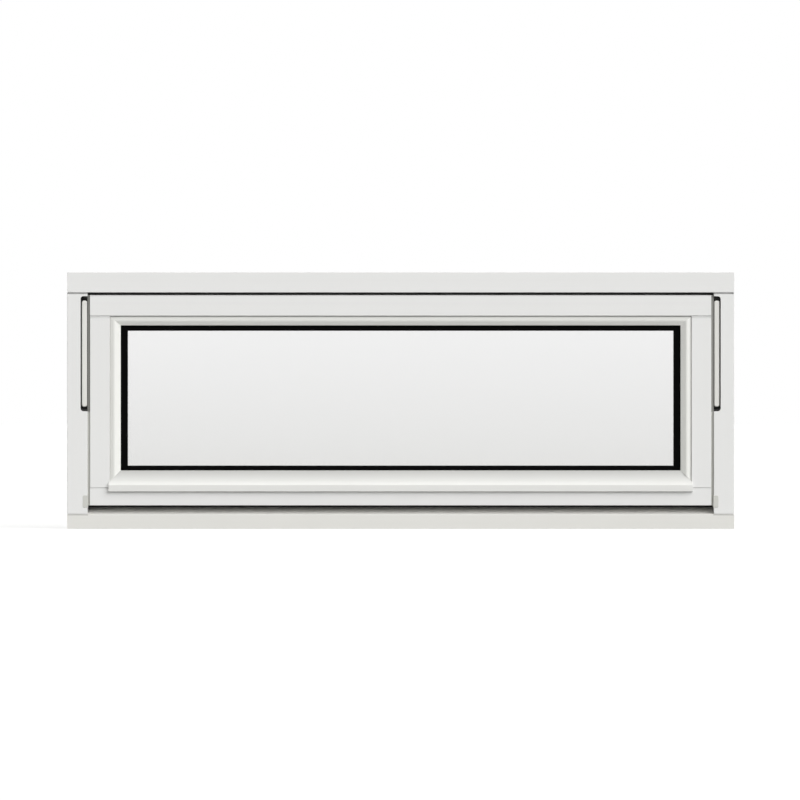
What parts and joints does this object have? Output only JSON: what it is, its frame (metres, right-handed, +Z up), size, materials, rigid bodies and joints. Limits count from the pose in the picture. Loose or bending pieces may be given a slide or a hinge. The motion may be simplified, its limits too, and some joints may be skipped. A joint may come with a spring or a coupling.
{
  "type": "top hung awning window",
  "caption": "Painted timber awning window with a fixed frame, a top hung sash on side arms, a double glazed pane, glazing beads with a drip bead, and an inside handle.",
  "frame": {"origin": "centre of the sill's underside, half way through the frame's depth", "axes": "+X across the window, -Y towards the outside, +Z up"},
  "size_m": [1.3, 0.12, 0.5],
  "materials": {
    "painted_timber": "white opaque paint",
    "painted_sill": "white opaque paint",
    "painted_bead": "white opaque paint",
    "drip_profile": "white opaque paint",
    "clear_glass": "clear",
    "black_gasket": "matte",
    "pane_edge": "matte",
    "setting_plastic": "matte",
    "seal_rubber": "matte",
    "edge_seal": "matte pale grey",
    "track_steel": "satin",
    "arm_metal": "pale satin",
    "pin_steel": "satin",
    "guide_plastic": "light grey",
    "handle_metal": "white satin",
    "screw_steel": "satin"
  },
  "bodies": {
    "root": {"frame_head": "painted_timber", "frame_sill": "painted_sill", "frame_jamb_left": "painted_timber", "frame_jamb_right": "painted_timber", "sash_top_rail": "painted_timber", "sash_bottom_rail": "painted_timber", "sash_stile_left": "painted_timber", "sash_stile_right": "painted_timber", "bead_top": "painted_bead", "bead_left": "painted_bead", "bead_right": "painted_bead", "drip_bead": "drip_profile", "glass_outer": "clear_glass", "glass_inner": "clear_glass", "glass_spacer": "pane_edge", "glazing_gasket": "black_gasket", "glazing_tape": "black_gasket", "setting_blocks": "setting_plastic", "weather_seal_top": "seal_rubber", "weather_seal_bottom": "seal_rubber", "weather_seal_left": "seal_rubber", "weather_seal_right": "seal_rubber", "edge_seal_left": "edge_seal", "edge_seal_right": "edge_seal", "hinge_track_left": "track_steel", "hinge_track_right": "track_steel", "hinge_arm_left": "arm_metal", "hinge_arm_right": "arm_metal", "hinge_pins_left": "pin_steel", "hinge_pins_right": "pin_steel", "hinge_bracket_left": "track_steel", "hinge_bracket_right": "track_steel", "guide_block_left": "guide_plastic", "guide_block_right": "guide_plastic", "handle_plate": "handle_metal", "handle_lever": "handle_metal", "handle_screws": "screw_steel"}
  },
  "joints": []
}
